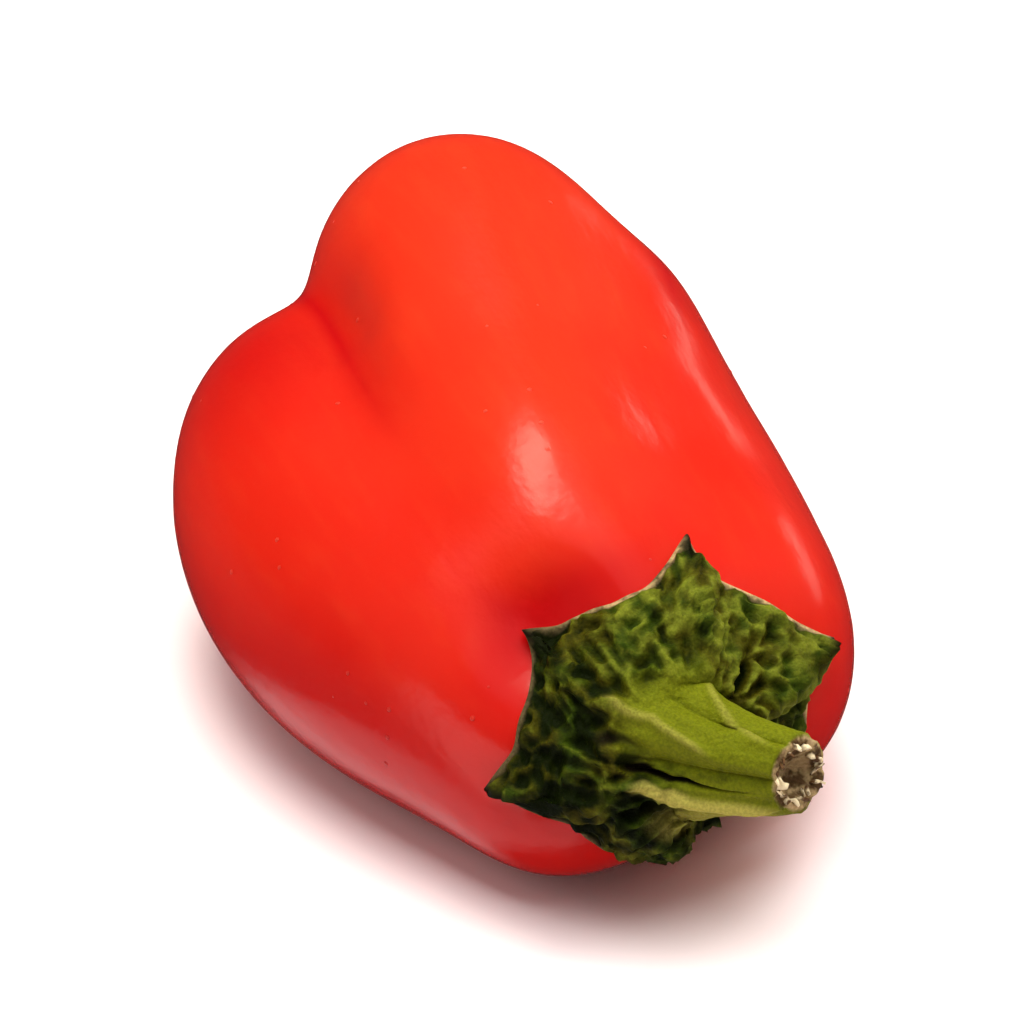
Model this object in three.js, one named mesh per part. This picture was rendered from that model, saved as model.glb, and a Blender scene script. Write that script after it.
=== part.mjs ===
// A mini sweet pepper, lying on its side.
//
// Millimetres, +Z up. It rests on the plane z = 0, +X runs along the fruit from the blossom end to the
// stem, and the origin is on that plane under the middle of its box.

import * as THREE from 'three';

// The middle of the whole pepper's box from above, in the frame that the numbers below are written in.
const MIDDLE = [2.57, -0.43];

// The fruit's three lobes: the upper one, and the left and the right one, which it lies on. Each is a
// string of spheres on a gentle curve from the shoulder beside the stem, through the belly, to the tip
// at the blossom end.
const LOBES = [
  { shoulder: [18.5, -1, 14], belly: [-1.5, 0.5, 15.5], tip: [-21, 4.5, 18], radii: [6.5, 9.5, 10.2] },
  { shoulder: [19, -2.5, 9.5], belly: [-0.5, -9.5, 9.8], tip: [-17, -6, 11.5], radii: [9, 10, 9] },
  { shoulder: [16.5, 5, 10.3], belly: [0, 8.5, 9.3], tip: [-21, 9.5, 11.5], radii: [9.5, 9.5, 9.5] },
];
const SPHERES_PER_LOBE = 14;

// How far the skin runs round where spheres meet: inside one lobe, and in the furrows between the
// lobes, which are crisp in the cleft at the tip and soft over the belly and the shoulders. Of one
// lobe's spheres, as many as lie next to each other count fully, however many there are.
const LOBE_ROUNDING = 1.6;
const SPHERES_THAT_COUNT = 4;
const FURROW_ROUNDING = { tip: 0.9, belly: 1.9, shoulder: 1.2 };
const CLEFT_FADES = [-22, -4];
const SHOULDERS_START = [8, 22];

// The hollow round the stem, which the cap sits in.
const STEM_HOLLOW = { middle: [24, -1, 13], depth: 1.2, width: 8 };

// The fruit's skin is reached from a line inside it, from the blossom side to the stem side. It is
// never further from that line than the reach, which is halved until the skin is found.
const HEART = { blossom: [-11, 0, 13.5], stem: [14, 1, 11.5] };
const SKIN_REACH = 45;
const HALVINGS = 26;
const FRUIT_COLUMNS = 60;
const FRUIT_ROWS = 42;

// The green cap. Directions on it are turned round +X from +Y towards +Z, and leans are measured from
// +X, both in degrees and seen from a point inside the fruit. Each of its six points has the lean of
// its tip and of the rim halfway to the next point.
const CAP_EYE = [10, -1, 12];
const POINTS = [
  { towards: 8, lean: 49, rimAfter: 46 },
  { towards: 58, lean: 58, rimAfter: 36 },
  { towards: 140, lean: 47, rimAfter: 37 },
  { towards: 199, lean: 43, rimAfter: 33 },
  { towards: 276, lean: 45, rimAfter: 40 },
  { towards: 331, lean: 50, rimAfter: 37 },
];
const POINT_SHARPNESS = 3;
const COLUMNS_PER_POINT = 12;
const STEM_ROOT_LEAN = 17;

// The cap's thickness grows from the rim to the stem's root, where it swells up to the stem. A narrow
// ridge runs up each point.
const CAP_GAP = 0.35;
const CAP_THICKNESS = { rim: 0.8, middle: 1.4 };
const CAP_SWELL = { height: 0.8, steepness: 3 };
const RIDGE = { height: 0.7, narrowness: 4, bluntness: 0.5 };
const UNDERSIDE_RINGS = [0.2, 0.4, 0.6, 0.75, 0.88, 1];
const TOP_RINGS = [1, 0.85, 0.68, 0.5, 0.34, 0.2, 0.09, 0];

// The stem bends a little to the side on its way from the cap's middle to its cut end.
const STEM = { root: [22.8, -1.6, 11.7], bend: [27.5, -0.2, 12.2], end: [32.6, 4.7, 12.8] };
const STEM_RINGS = [
  { along: 0.36, radius: 3.6 },
  { along: 0.47, radius: 3.2 },
  { along: 0.62, radius: 2.9 },
  { along: 0.8, radius: 2.7 },
  { along: 1, radius: 2.6 },
];
const STEM_RIB_DEPTH = 0.13;
const CUT_HOLLOW = { width: 0.55, depth: 1.2 };

// The dry remnant of the flower, in the cleft at the blossom end.
const REMNANT = {
  outwards: [-0.98, -0.15, -0.15],
  length: 2.6,
  gap: 0.6,
  radii: [0.6, 0.5, 0.3],
  sides: 10,
};

const SKIN_RED = new THREE.MeshStandardMaterial({ color: 0xe8241a, roughness: 0.22, metalness: 0 });
const CAP_GREEN = new THREE.MeshStandardMaterial({ color: 0x3f5f1c, roughness: 0.6, metalness: 0 });
const DRY_BROWN = new THREE.MeshStandardMaterial({ color: 0x4a3423, roughness: 0.85, metalness: 0 });

const { smoothstep, lerp, degToRad } = THREE.MathUtils;
const vector = (xyz) => new THREE.Vector3(...xyz);

// A value that runs smoothly through three others, which it meets at 0, a half and 1.
function through(first, middle, last, t) {
  const fromFirst = 2 * (t - 0.5) * (t - 1) * first;
  const fromMiddle = 4 * t * (1 - t) * middle;
  const fromLast = 2 * t * (t - 0.5) * last;
  return fromFirst + fromMiddle + fromLast;
}

function spheresOf(lobe) {
  const spheres = [];
  for (let i = 0; i < SPHERES_PER_LOBE; i += 1) {
    const t = i / (SPHERES_PER_LOBE - 1);
    const [x, y, z] = [0, 1, 2].map((k) => through(lobe.shoulder[k], lobe.belly[k], lobe.tip[k], t));
    spheres.push({ centre: new THREE.Vector3(x, y, z), radius: through(...lobe.radii, t) });
  }
  return spheres;
}

const LOBE_SPHERES = LOBES.map(spheresOf);

// Joins distances into one, rounded where they are alike.
function roundedUnion(distances, rounding, share = 1) {
  const nearest = Math.min(...distances);
  const sum = distances.reduce((total, d) => total + share * Math.exp((nearest - d) / rounding), 0);
  return nearest - rounding * Math.log(sum);
}

function furrowRounding(x) {
  const { tip, belly, shoulder } = FURROW_ROUNDING;
  const pastCleft = smoothstep(x, ...CLEFT_FADES);
  const onShoulders = smoothstep(x, ...SHOULDERS_START);
  return tip + (belly - tip) * pastCleft + (shoulder - belly) * onShoulders;
}

// Below zero inside the fruit.
function distanceToFruit(point) {
  const lobes = LOBE_SPHERES.map((spheres) => {
    const distances = spheres.map(({ centre, radius }) => point.distanceTo(centre) - radius);
    return roundedUnion(distances, LOBE_ROUNDING, SPHERES_THAT_COUNT / SPHERES_PER_LOBE);
  });
  const fromHollow = point.distanceTo(vector(STEM_HOLLOW.middle)) / STEM_HOLLOW.width;
  return roundedUnion(lobes, furrowRounding(point.x)) + STEM_HOLLOW.depth * Math.exp(-(fromHollow ** 2));
}

// The point where a line from inside the fruit leaves its skin.
function skinPoint(from, direction) {
  let inside = 0;
  let outside = SKIN_REACH;
  const point = new THREE.Vector3();
  for (let i = 0; i < HALVINGS; i += 1) {
    const middle = (inside + outside) / 2;
    point.copy(from).addScaledVector(direction, middle);
    if (distanceToFruit(point) < 0) {
      inside = middle;
    } else {
      outside = middle;
    }
  }
  return point;
}

// A direction that leans from +X, turned round it from +Y towards +Z. Both are radians.
function leaning(lean, towards) {
  const aside = Math.sin(lean);
  return new THREE.Vector3(Math.cos(lean), aside * Math.cos(towards), aside * Math.sin(towards));
}

// A closed skin over rings of points that are turned as leaning() turns. The first ring is a single
// point on the blossom side of the rest, and the last is a single point too.
function closedSkin(rings) {
  const positions = rings.flat().flatMap((point) => point.toArray());
  const columns = rings[1].length;
  const faces = [];
  let here = 0;
  rings.slice(1).forEach((ring, row) => {
    const next = here + rings[row].length;
    for (let i = 0; i < columns; i += 1) {
      const j = (i + 1) % columns;
      if (row === 0) {
        faces.push(here, next + j, next + i);
      } else if (ring.length === 1) {
        faces.push(here + i, here + j, next);
      } else {
        faces.push(here + i, here + j, next + j);
        faces.push(here + i, next + j, next + i);
      }
    }
    here = next;
  });
  const geometry = new THREE.BufferGeometry();
  geometry.setAttribute('position', new THREE.Float32BufferAttribute(positions, 3));
  geometry.setIndex(faces);
  geometry.computeVertexNormals();
  return geometry;
}

function named(name, geometry, material) {
  const mesh = new THREE.Mesh(geometry, material);
  mesh.name = name;
  return mesh;
}

// The fruit, cut flat underneath where it rests.
function fruit() {
  const blossom = vector(HEART.blossom);
  const stem = vector(HEART.stem);
  const rings = [];
  for (let row = 0; row <= FRUIT_ROWS; row += 1) {
    const lean = Math.PI * (1 - row / FRUIT_ROWS);
    const from = blossom.clone().lerp(stem, (1 + Math.cos(lean)) / 2);
    const columns = row === 0 || row === FRUIT_ROWS ? 1 : FRUIT_COLUMNS;
    const ring = [];
    for (let i = 0; i < columns; i += 1) {
      const point = skinPoint(from, leaning(lean, (2 * Math.PI * i) / FRUIT_COLUMNS));
      point.z = Math.max(point.z, 0);
      ring.push(point);
    }
    rings.push(ring);
  }
  return named('fruit', closedSkin(rings), SKIN_RED);
}

// The cap's columns: a direction each, the rim's lean there, and how near the column is to a point, up
// to 1.
function capColumns() {
  return POINTS.flatMap((point, k) => {
    const next = POINTS[(k + 1) % POINTS.length];
    const turn = (next.towards - point.towards + 360) % 360;
    return Array.from({ length: COLUMNS_PER_POINT }, (_, i) => {
      const t = i / COLUMNS_PER_POINT;
      const nearness = Math.abs(2 * t - 1);
      const tipLean = t < 0.5 ? point.lean : next.lean;
      const rimLean = lerp(point.rimAfter, tipLean, nearness ** POINT_SHARPNESS);
      return { towards: degToRad(point.towards + turn * t), rimLean: degToRad(rimLean), nearness };
    });
  });
}

// The cap and the stem, one grown body: the underside from its middle out to the rim, the top back in
// to the stem's root, up the stem, and the cut end with the hollow in it.
function calyxAndStem() {
  const eye = vector(CAP_EYE);
  const columns = capColumns();
  const overSkin = (lean, towards, height) => {
    const direction = leaning(lean, towards);
    return skinPoint(eye, direction).addScaledVector(direction, height);
  };
  const rings = [[overSkin(0, 0, CAP_GAP)]];
  UNDERSIDE_RINGS.forEach((share) => {
    rings.push(columns.map(({ towards, rimLean }) => overSkin(share * rimLean, towards, CAP_GAP)));
  });

  const rootLean = degToRad(STEM_ROOT_LEAN);
  TOP_RINGS.forEach((share) => {
    const swell = CAP_SWELL.height * (1 - share) ** CAP_SWELL.steepness;
    const thickness = lerp(CAP_THICKNESS.middle, CAP_THICKNESS.rim, share) + swell;
    rings.push(columns.map(({ towards, rimLean, nearness }) => {
      const along = Math.sin(Math.PI * share) ** RIDGE.bluntness;
      const ridge = RIDGE.height * nearness ** RIDGE.narrowness * along;
      return overSkin(lerp(rootLean, rimLean, share), towards, CAP_GAP + thickness + ridge);
    }));
  });

  const path = new THREE.QuadraticBezierCurve3(vector(STEM.root), vector(STEM.bend), vector(STEM.end));
  const stemRing = (along, radius, depth) => {
    const tangent = path.getTangent(along);
    const turned = new THREE.Quaternion().setFromUnitVectors(new THREE.Vector3(1, 0, 0), tangent);
    const centre = path.getPoint(along).addScaledVector(tangent, -depth);
    return columns.map(({ towards, nearness }) => {
      const ribbed = radius * (1 + STEM_RIB_DEPTH * (2 * nearness - 1));
      return leaning(Math.PI / 2, towards).applyQuaternion(turned).multiplyScalar(ribbed).add(centre);
    });
  };
  STEM_RINGS.forEach(({ along, radius }) => rings.push(stemRing(along, radius, 0)));
  const cutRadius = STEM_RINGS.at(-1).radius;
  rings.push(stemRing(1, CUT_HOLLOW.width * cutRadius, 0));
  rings.push([path.getPoint(1).addScaledVector(path.getTangent(1), -CUT_HOLLOW.depth)]);
  return named('calyx_and_stem', closedSkin(rings), CAP_GREEN);
}

// A little tapered point that sticks out of the cleft between the three tips.
function styleRemnant() {
  const { length, gap, radii, sides } = REMNANT;
  const outwards = vector(REMNANT.outwards).normalize();
  const profile = radii.map((radius, k) => new THREE.Vector2(radius, (length * k) / (radii.length - 1)));
  profile.unshift(new THREE.Vector2(0, 0));
  profile.push(new THREE.Vector2(0, length));
  const mesh = named('style_remnant', new THREE.LatheGeometry(profile, sides), DRY_BROWN);
  mesh.quaternion.setFromUnitVectors(new THREE.Vector3(0, 1, 0), outwards);
  mesh.position.copy(skinPoint(vector(HEART.blossom), outwards)).addScaledVector(outwards, gap);
  return mesh;
}

const pepper = new THREE.Group();
pepper.add(fruit(), calyxAndStem(), styleRemnant());
pepper.position.set(-MIDDLE[0], -MIDDLE[1], 0);

const part = new THREE.Group();
part.add(pepper);

export default part;
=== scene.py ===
"""A mini sweet pepper, lying on its side.

The fruit, its green cap with the stem, and the dry remnant of the flower are modelled here with their
fine surfaces, over the plain solids that they stand for. Their forms are worked out in millimetres, in
the pepper's own frame: +X from the blossom end to the stem, +Z up. The finished objects are in metres.
"""

import logging
from collections.abc import Mapping
from dataclasses import dataclass
from enum import Enum
from typing import Any, TypeAlias

import bpy
import numpy as np
from mathutils import Matrix, Vector


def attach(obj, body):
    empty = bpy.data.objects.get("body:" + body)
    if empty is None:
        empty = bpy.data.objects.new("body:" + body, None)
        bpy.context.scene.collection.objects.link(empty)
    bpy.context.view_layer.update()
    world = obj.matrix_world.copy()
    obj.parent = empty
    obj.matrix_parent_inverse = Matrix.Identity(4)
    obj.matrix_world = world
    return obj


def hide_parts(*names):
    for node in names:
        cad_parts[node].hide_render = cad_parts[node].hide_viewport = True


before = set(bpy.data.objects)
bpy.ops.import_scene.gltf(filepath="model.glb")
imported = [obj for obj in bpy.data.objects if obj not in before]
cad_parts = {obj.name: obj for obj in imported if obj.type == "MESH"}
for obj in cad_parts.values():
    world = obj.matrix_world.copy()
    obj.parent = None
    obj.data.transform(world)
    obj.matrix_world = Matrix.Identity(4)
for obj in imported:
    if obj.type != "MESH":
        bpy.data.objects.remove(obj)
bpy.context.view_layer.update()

Point: TypeAlias = tuple[float, float, float]
Colour: TypeAlias = tuple[float, float, float]
Points: TypeAlias = np.ndarray
Values: TypeAlias = np.ndarray
# How often each wave goes round, and where it begins in radians.
Waves: TypeAlias = tuple[tuple[int, float], ...]

LOG = logging.getLogger("pepper")
BODY = "root"
MM = 0.001
PER_METRE = 1 / MM

WHITE: Colour = (1.0, 1.0, 1.0)

# The middle of the whole pepper's box from above, in its own frame.
MIDDLE = np.array((2.57, -0.43, 0.0))


class Slot(Enum):
    """The record's material slots."""

    SKIN = "red_skin"
    CAP = "green_cap"
    REMNANT = "dry_remnant"


class Node(Enum):
    """The solids that the pieces stand for."""

    FRUIT = "fruit"
    CAP = "calyx_and_stem"
    REMNANT = "style_remnant"


class Mark(Enum):
    """What a point of a surface is marked with, for its finish or its relief."""

    # Painted shade: a deeper red in the furrows and on the left lobe's tip.
    FURROW_SHADE = "furrow"
    # Painted shade: a deeper red round the cap.
    COLLAR_SHADE = "collar_shade"
    BARE = "bare"
    AROUND = "around"
    CLIMB = "climb"
    TOP = "top"
    EDGE = "edge"
    TIP = "tip"
    STEM = "stem"
    CUT = "cut"
    LINE = "line"
    # The cap's relief, which its finish turns into painted shade and painted highlights.
    RELIEF = "relief"


def add_object(name: str, data: Any) -> bpy.types.Object:
    """Makes an object and puts it in the scene.

    Args:
        name: Its name.
        data: Its mesh, light or camera.

    Returns:
        The object.
    """
    made = bpy.data.objects.new(name, data)
    bpy.context.scene.collection.objects.link(made)
    return made


class Value:
    """An output socket that takes part in sums: each operator adds a Math node."""

    def __init__(self, graph: "NodeGraph", socket: bpy.types.NodeSocket) -> None:
        """Wraps a socket of a graph."""
        self.graph = graph
        self.socket = socket

    def __add__(self, other: "Value | float") -> "Value":
        """The sum of the two."""
        return self.graph.math("ADD", self, other)

    def __radd__(self, other: float) -> "Value":
        """The sum of the two."""
        return self.graph.math("ADD", other, self)

    def __sub__(self, other: "Value | float") -> "Value":
        """This value less the other."""
        return self.graph.math("SUBTRACT", self, other)

    def __rsub__(self, other: float) -> "Value":
        """The other value less this one."""
        return self.graph.math("SUBTRACT", other, self)

    def __mul__(self, other: "Value | float") -> "Value":
        """The product of the two."""
        return self.graph.math("MULTIPLY", self, other)

    def __rmul__(self, other: float) -> "Value":
        """The product of the two."""
        return self.graph.math("MULTIPLY", other, self)

    def __abs__(self) -> "Value":
        """This value without its sign."""
        return self.graph.math("ABSOLUTE", self)


class NodeGraph:
    """A node tree under construction."""

    def __init__(self, tree: bpy.types.NodeTree) -> None:
        """Takes the tree that the nodes go into."""
        self.tree = tree

    def node(
        self,
        kind: str,
        settings: Mapping[str, Any] | None = None,
        inputs: Mapping[str | int, Any] | None = None,
    ) -> bpy.types.Node:
        """Adds a node.

        Args:
            kind: The node's type.
            settings: Its settings, which are set first.
            inputs: The values or links of its sockets, by name or by number.

        Returns:
            The node.
        """
        node = self.tree.nodes.new(kind)
        for name, setting in (settings or {}).items():
            setattr(node, name, setting)
        for key, value in (inputs or {}).items():
            if isinstance(key, int):
                socket = node.inputs[key]
            else:
                socket = next(s for s in node.inputs if s.enabled and s.name == key)
            self._feed(socket, value)
        return node

    def out(
        self,
        kind: str,
        settings: Mapping[str, Any] | None = None,
        inputs: Mapping[str | int, Any] | None = None,
        output: str | None = None,
    ) -> Value:
        """Adds a node, and returns its output of that name or else its first one."""
        sockets = [s for s in self.node(kind, settings, inputs).outputs if s.enabled]
        return Value(self, next(s for s in sockets if output in (None, s.name)))

    def _feed(self, socket: bpy.types.NodeSocket, value: Any) -> None:
        """Links an input socket to a value, or sets it."""
        if isinstance(value, Value):
            self.tree.links.new(value.socket, socket)
        elif socket.type == "RGBA":
            socket.default_value = (*value, 1.0)
        else:
            socket.default_value = value

    def math(self, operation: str, *values: Value | float) -> Value:
        """Adds a Math node."""
        return self.out("ShaderNodeMath", {"operation": operation}, dict(enumerate(values)))

    def vector_math(self, operation: str, first: Value, second: Value | Point) -> Value:
        """Adds a Vector Math node."""
        return self.out("ShaderNodeVectorMath", {"operation": operation}, {0: first, 1: second})

    def rise(self, value: Value, low: float, high: float) -> Value:
        """Turns a value into a smooth step.

        Args:
            value: The value.
            low: Where the step begins.
            high: Where it ends. It falls if this is the lower one.

        Returns:
            0 before the step and 1 after it.
        """
        if low > high:
            return 1 - self.rise(value, high, low)
        inputs = {"Value": value, "From Min": low, "From Max": high}
        return self.out("ShaderNodeMapRange", {"interpolation_type": "SMOOTHSTEP"}, inputs)

    def noise(self, place: Value, scale: float, seed: float, detail: float = 2.0) -> Value:
        """Reads a noise from 0 to 1, whose scale is in waves for each unit of the place."""
        inputs = {"Vector": place, "W": seed, "Scale": scale, "Detail": detail}
        return self.out("ShaderNodeTexNoise", {"noise_dimensions": "4D"}, inputs)

    def stirred(self, place: Value, scale: float, seed: Value | float, reach: float) -> Value:
        """Shifts places, each its own way.

        Args:
            place: The places.
            scale: How many waves the shift has in one unit of them.
            seed: Which of all such shifts it is.
            reach: How far they go.

        Returns:
            The shifted places.
        """
        inputs = {"Vector": place, "W": seed, "Scale": scale}
        colour = self.out("ShaderNodeTexNoise", {"noise_dimensions": "4D"}, inputs, "Color")
        centred = self.vector_math("SUBTRACT", colour, (0.5,) * 3)
        return self.vector_math("ADD", place, self.vector_math("MULTIPLY", centred, (2 * reach,) * 3))

    def veins(self, place: Value, scale: float, seed: Value | float) -> Value:
        """Reads a net of fine veins: 1 on them and 0 well off them."""
        return self.math("MAXIMUM", 1 - 5 * abs(self.noise(place, scale, seed, 1.0) - 0.5), 0.0)


class ShaderGraph(NodeGraph):
    """A material under construction."""

    def __init__(self, name: str) -> None:
        """Starts a new material."""
        self.material = bpy.data.materials.new(name)
        self.material.use_nodes = True
        super().__init__(self.material.node_tree)
        self.tree.nodes.clear()

    def place(self) -> Value:
        """The place on the piece, in millimetres."""
        here = self.out("ShaderNodeTexCoord", output="Object")
        return self.vector_math("MULTIPLY", here, (PER_METRE,) * 3)

    def mark(self, mark: Mark) -> Value:
        """A mark of the surface."""
        return self.out("ShaderNodeAttribute", {"attribute_name": mark.value}, output="Fac")

    def mixed(self, share: Value | float, first: Value | Colour, second: Value | Colour) -> Value:
        """Mixes two colours, with this share of the second one."""
        inputs = {"Factor": share, "A": first, "B": second}
        return self.out("ShaderNodeMix", {"data_type": "RGBA"}, inputs)

    def bumped(self, height: Value, depth: float, under: Value | None = None) -> Value:
        """Turns a height into a normal.

        Args:
            height: The height, from 0 to 1.
            depth: What 1 stands for, in millimetres.
            under: The normal of a coarser bump below this one.

        Returns:
            The normal.
        """
        inputs: dict[str | int, Any] = {"Height": height, "Distance": depth * MM}
        if under is not None:
            inputs["Normal"] = under
        return self.out("ShaderNodeBump", None, inputs)

    def finished(self, inputs: Mapping[str | int, Any]) -> bpy.types.Material:
        """Ends the material in a Principled shader.

        Args:
            inputs: The values or links of that shader's sockets.

        Returns:
            The material.
        """
        shader = self.out("ShaderNodeBsdfPrincipled", None, inputs)
        self.node("ShaderNodeOutputMaterial", None, {"Surface": shader})
        return self.material


class GeometryRecipe(NodeGraph):
    """A Geometry Nodes tree under construction, with named inputs for its sizes."""

    KINDS = {float: "NodeSocketFloat", int: "NodeSocketInt", tuple: "NodeSocketVector"}

    def __init__(self, name: str, sizes: Mapping[str, float | int | Point]) -> None:
        """Starts a tree.

        Args:
            name: Its name.
            sizes: Its inputs' names and their values.
        """
        super().__init__(bpy.data.node_groups.new(name, "GeometryNodeTree"))
        self.sizes = dict(sizes)
        face = self.tree.interface
        face.new_socket("Geometry", in_out="INPUT", socket_type="NodeSocketGeometry")
        face.new_socket("Geometry", in_out="OUTPUT", socket_type="NodeSocketGeometry")
        for size, value in sizes.items():
            face.new_socket(size, in_out="INPUT", socket_type=self.KINDS[type(value)])
        face.new_socket("Material", in_out="INPUT", socket_type="NodeSocketMaterial")
        self.start = self.node("NodeGroupInput")

    def given(self, name: str) -> Value:
        """One of the tree's own inputs."""
        return Value(self, self.start.outputs[name])

    def mark(self, mark: Mark) -> Value:
        """A mark of the geometry's points."""
        return self.out("GeometryNodeInputNamedAttribute", {"data_type": "FLOAT"}, {"Name": mark.value})

    def place(self) -> Value:
        """The place of a point, in millimetres."""
        here = self.out("GeometryNodeInputPosition")
        return self.vector_math("MULTIPLY", here, (PER_METRE,) * 3)

    def raised(self, geometry: Value, height: Value) -> Value:
        """Moves a surface out along its normals.

        Args:
            geometry: The surface.
            height: How far each point moves, in millimetres.

        Returns:
            The moved surface.
        """
        normal = self.out("GeometryNodeInputNormal")
        inputs = {0: normal, "Scale": height * MM}
        offset = self.out("ShaderNodeVectorMath", {"operation": "SCALE"}, inputs)
        return self.out("GeometryNodeSetPosition", None, {"Geometry": geometry, "Offset": offset})

    def marked(self, geometry: Value, mark: Mark, value: Value) -> Value:
        """Stores a mark on a geometry's points.

        Args:
            geometry: The geometry.
            mark: The mark.
            value: Its value at each point.

        Returns:
            The marked geometry.
        """
        settings = {"data_type": "FLOAT", "domain": "POINT"}
        inputs = {"Geometry": geometry, "Name": mark.value, "Value": value}
        return self.out("GeometryNodeStoreNamedAttribute", settings, inputs)

    def end(self, geometry: Value) -> None:
        """Ends the tree: what it made becomes real, smooth and dressed."""
        real = self.out("GeometryNodeRealizeInstances", None, {"Geometry": geometry})
        smooth = self.out("GeometryNodeSetShadeSmooth", None, {"Geometry": real})
        dress = {"Geometry": smooth, "Material": self.given("Material")}
        dressed = self.out("GeometryNodeSetMaterial", None, dress)
        self.node("NodeGroupOutput", None, {"Geometry": dressed})

    def grow(self, source: bpy.types.Object, name: str, material: bpy.types.Material) -> bpy.types.Object:
        """Runs the tree on an object, which it leaves as it was.

        Args:
            source: The object.
            name: The result's name.
            material: The result's finish.

        Returns:
            A plain mesh object.
        """
        modifier = source.modifiers.new(self.tree.name, "NODES")
        modifier.node_group = self.tree
        for item in self.tree.interface.items_tree:
            if item.in_out == "INPUT" and item.name in self.sizes:
                modifier[item.identifier] = self.sizes[item.name]
            elif item.name == "Material":
                modifier[item.identifier] = material
        graph = bpy.context.evaluated_depsgraph_get()
        mesh = bpy.data.meshes.new_from_object(
            source.evaluated_get(graph), preserve_all_data_layers=True, depsgraph=graph
        )
        source.modifiers.remove(modifier)
        mesh.name = name
        return add_object(name, mesh)


@dataclass(frozen=True)
class SkinFinish:
    """The waxy red skin of the ripe fruit.

    Attributes:
        ripe: Its colour.
        warm: A lighter, more orange red: painted light on the crown, and the skin's own tone in its streaks
            and flecks.
        deep: A painted shade: a deeper red low on the flanks, in the furrows, on the left lobe's tip and
            round the cap.
        roughness: How dull it is.
        gloss: How strongly it reflects.
        crown: The heights, in millimetres, between which the painted light of the crown comes in.
        shade: The heights between which the painted shade of the low flanks comes in.
        drift: How far, in millimetres, clouds move these heights.
        name: The material's name.
    """

    ripe: Colour = (0.48, 0.011, 0.0034)
    warm: Colour = (0.52, 0.026, 0.0064)
    deep: Colour = (0.36, 0.0006, 0.0014)
    roughness: float = 0.22
    gloss: float = 0.36
    crown: tuple[float, float] = (17.0, 27.0)
    shade: tuple[float, float] = (16.5, 8.0)
    drift: float = 12.0
    name: str = "red_skin"

    def material(self) -> bpy.types.Material:
        """Makes the material.

        Returns:
            The material.
        """
        graph = ShaderGraph(self.name)
        place = graph.place()
        clouds = graph.noise(place, scale=0.09, seed=1.0)
        height = graph.out("ShaderNodeSeparateXYZ", None, {0: place}, "Z") + self.drift * (clouds - 0.5)
        along = graph.vector_math("MULTIPLY", place, (0.16, 1.0, 1.0))
        streaks = graph.noise(along, scale=0.8, seed=2.0, detail=3.0)
        flecks = graph.rise(graph.noise(place, scale=5.5, seed=3.0, detail=1.0), 0.55, 0.8)
        # Painted light: a lighter, more orange red on the crown; the streaks and flecks are the skin's own
        # tone.
        warm_tone_and_light = 0.75 * graph.rise(height, *self.crown) + 0.25 * graph.rise(streaks, 0.45, 0.75)
        colour = graph.mixed(warm_tone_and_light, self.ripe, self.warm)
        colour = graph.mixed(0.15 * flecks, colour, self.warm)
        # Painted shade: a deeper red in the furrows, round the cap, on the left lobe's tip and low on the
        # flanks.
        painted_shade = graph.math("MAXIMUM", graph.mark(Mark.FURROW_SHADE), graph.mark(Mark.COLLAR_SHADE))
        painted_shade = graph.math("MAXIMUM", painted_shade, 0.75 * graph.rise(height, *self.shade))
        colour = graph.mixed(painted_shade, colour, self.deep)
        peel = graph.bumped(graph.noise(place, scale=1.1, seed=4.0, detail=2.0), depth=0.03)
        fibres = graph.bumped(streaks, depth=0.05, under=peel)
        grain = graph.bumped(graph.noise(place, scale=7.0, seed=5.0, detail=1.0), depth=0.003, under=fibres)
        dull = self.roughness + 0.05 * (graph.noise(place, scale=0.5, seed=6.0, detail=3.0) - 0.5)
        return graph.finished({
            "Base Color": colour,
            "Roughness": dull,
            "IOR": 1.45,
            "Specular IOR Level": self.gloss,
            "Normal": grain,
            "Subsurface Weight": 0.2,
            "Subsurface Radius": (1.0, 0.12, 0.06),
            "Subsurface Scale": 1.2 * MM,
        })


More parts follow.
